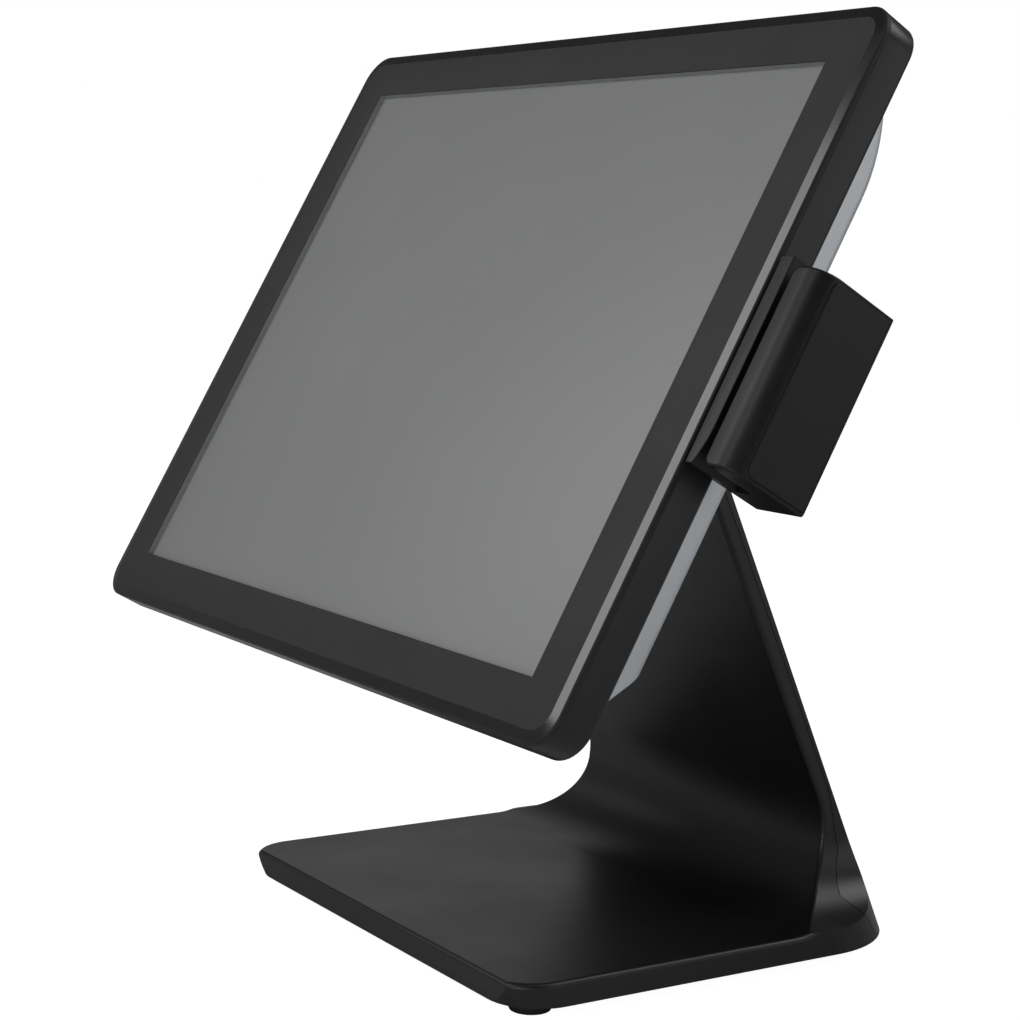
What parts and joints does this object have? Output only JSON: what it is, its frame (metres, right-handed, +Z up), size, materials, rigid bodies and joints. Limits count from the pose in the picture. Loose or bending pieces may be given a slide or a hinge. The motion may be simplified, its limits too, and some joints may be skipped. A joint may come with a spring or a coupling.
{
  "type": "point of sale touchscreen terminal",
  "caption": "Retail checkout terminal: wide touchscreen head with a card reader on its side, friction tilt hinge and a cast stand sweeping up from a flat foot.",
  "frame": {"origin": "middle of the bounding box, on the surface the terminal stands on", "axes": "+X along the screen width towards the card reader, +Y away from the user, +Z up"},
  "size_m": [0.3759, 0.2342, 0.3523],
  "materials": {
    "black_powder_coat": "satin black powder coat over cast aluminium",
    "black_moulding": "satin moulded ABS",
    "dark_bezel": "fine textured dark grey ABS with a glossy edge",
    "touch_glass": "anti-glare glass",
    "silver_casting": "bead blasted",
    "zinc_steel": "zinc plated",
    "bright_steel": "nickel plated",
    "black_steel": "black painted steel",
    "black_rubber": "matte",
    "circuit_board": "green solder mask",
    "chip_black": "matte moulded",
    "brass_standoff": "turned"
  },
  "bodies": {
    "stand": {"ballast_screws": "zinc_steel", "base_ballast": "zinc_steel", "base_casting": "black_powder_coat", "bracket_screws": "bright_steel", "disc_springs": "bright_steel", "friction_washers": "brass_standoff", "hinge_caps": "black_moulding", "hinge_nuts": "bright_steel", "hinge_pins": "bright_steel", "rear_cover": "black_moulding", "rubber_feet": "black_rubber", "stand_hinge_bracket": "black_steel"},
    "head": {"front_bezel": "dark_bezel", "touch_glass": "touch_glass", "touch_gasket": "black_rubber", "lcd_panel": "zinc_steel", "lcd_chassis": "zinc_steel", "rear_housing": "black_moulding", "power_switch": "circuit_board", "rear_casting": "silver_casting", "io_bracket": "zinc_steel", "mainboard": "circuit_board", "board_standoffs": "brass_standoff", "processor": "chip_black", "heat_block": "silver_casting", "memory_module": "circuit_board", "coin_cell": "bright_steel", "solid_state_drive": "zinc_steel", "speaker": "chip_black", "housing_screws": "bright_steel", "head_hinge_plate": "black_steel", "plate_screws": "bright_steel", "reader_bracket": "black_moulding", "reader_lip": "black_moulding", "reader_body": "black_moulding", "reader_side_cover": "black_moulding", "read_head_spring": "bright_steel", "reader_board": "circuit_board", "reader_screws": "bright_steel", "power_inlet": "chip_black", "network_port": "bright_steel", "usb_ports": "bright_steel", "serial_port": "chip_black", "drawer_port": "chip_black", "line_port": "chip_black"},
    "power_button": {"power_button": "black_moulding"},
    "read_head": {"read_head": "bright_steel"}
  },
  "joints": [
    {"name": "head_tilt", "type": "hinge", "parent": "stand", "child": "head", "pos_m": [-0.0124, -0.00897, 0.21026], "axis": [1, 0, 0], "range_deg": [-45, 24]},
    {"name": "power_button_press", "type": "slide", "parent": "head", "child": "power_button", "axis": [1, 0, 0], "range_m": [0, 0.001], "stiffness_N_per_m": 1200, "springref_m": -0.0005},
    {"name": "read_head_float", "type": "slide", "parent": "head", "child": "read_head", "axis": [1, 0, 0], "range_m": [0, 0.0008], "stiffness_N_per_m": 600, "springref_m": -0.0005}
  ]
}
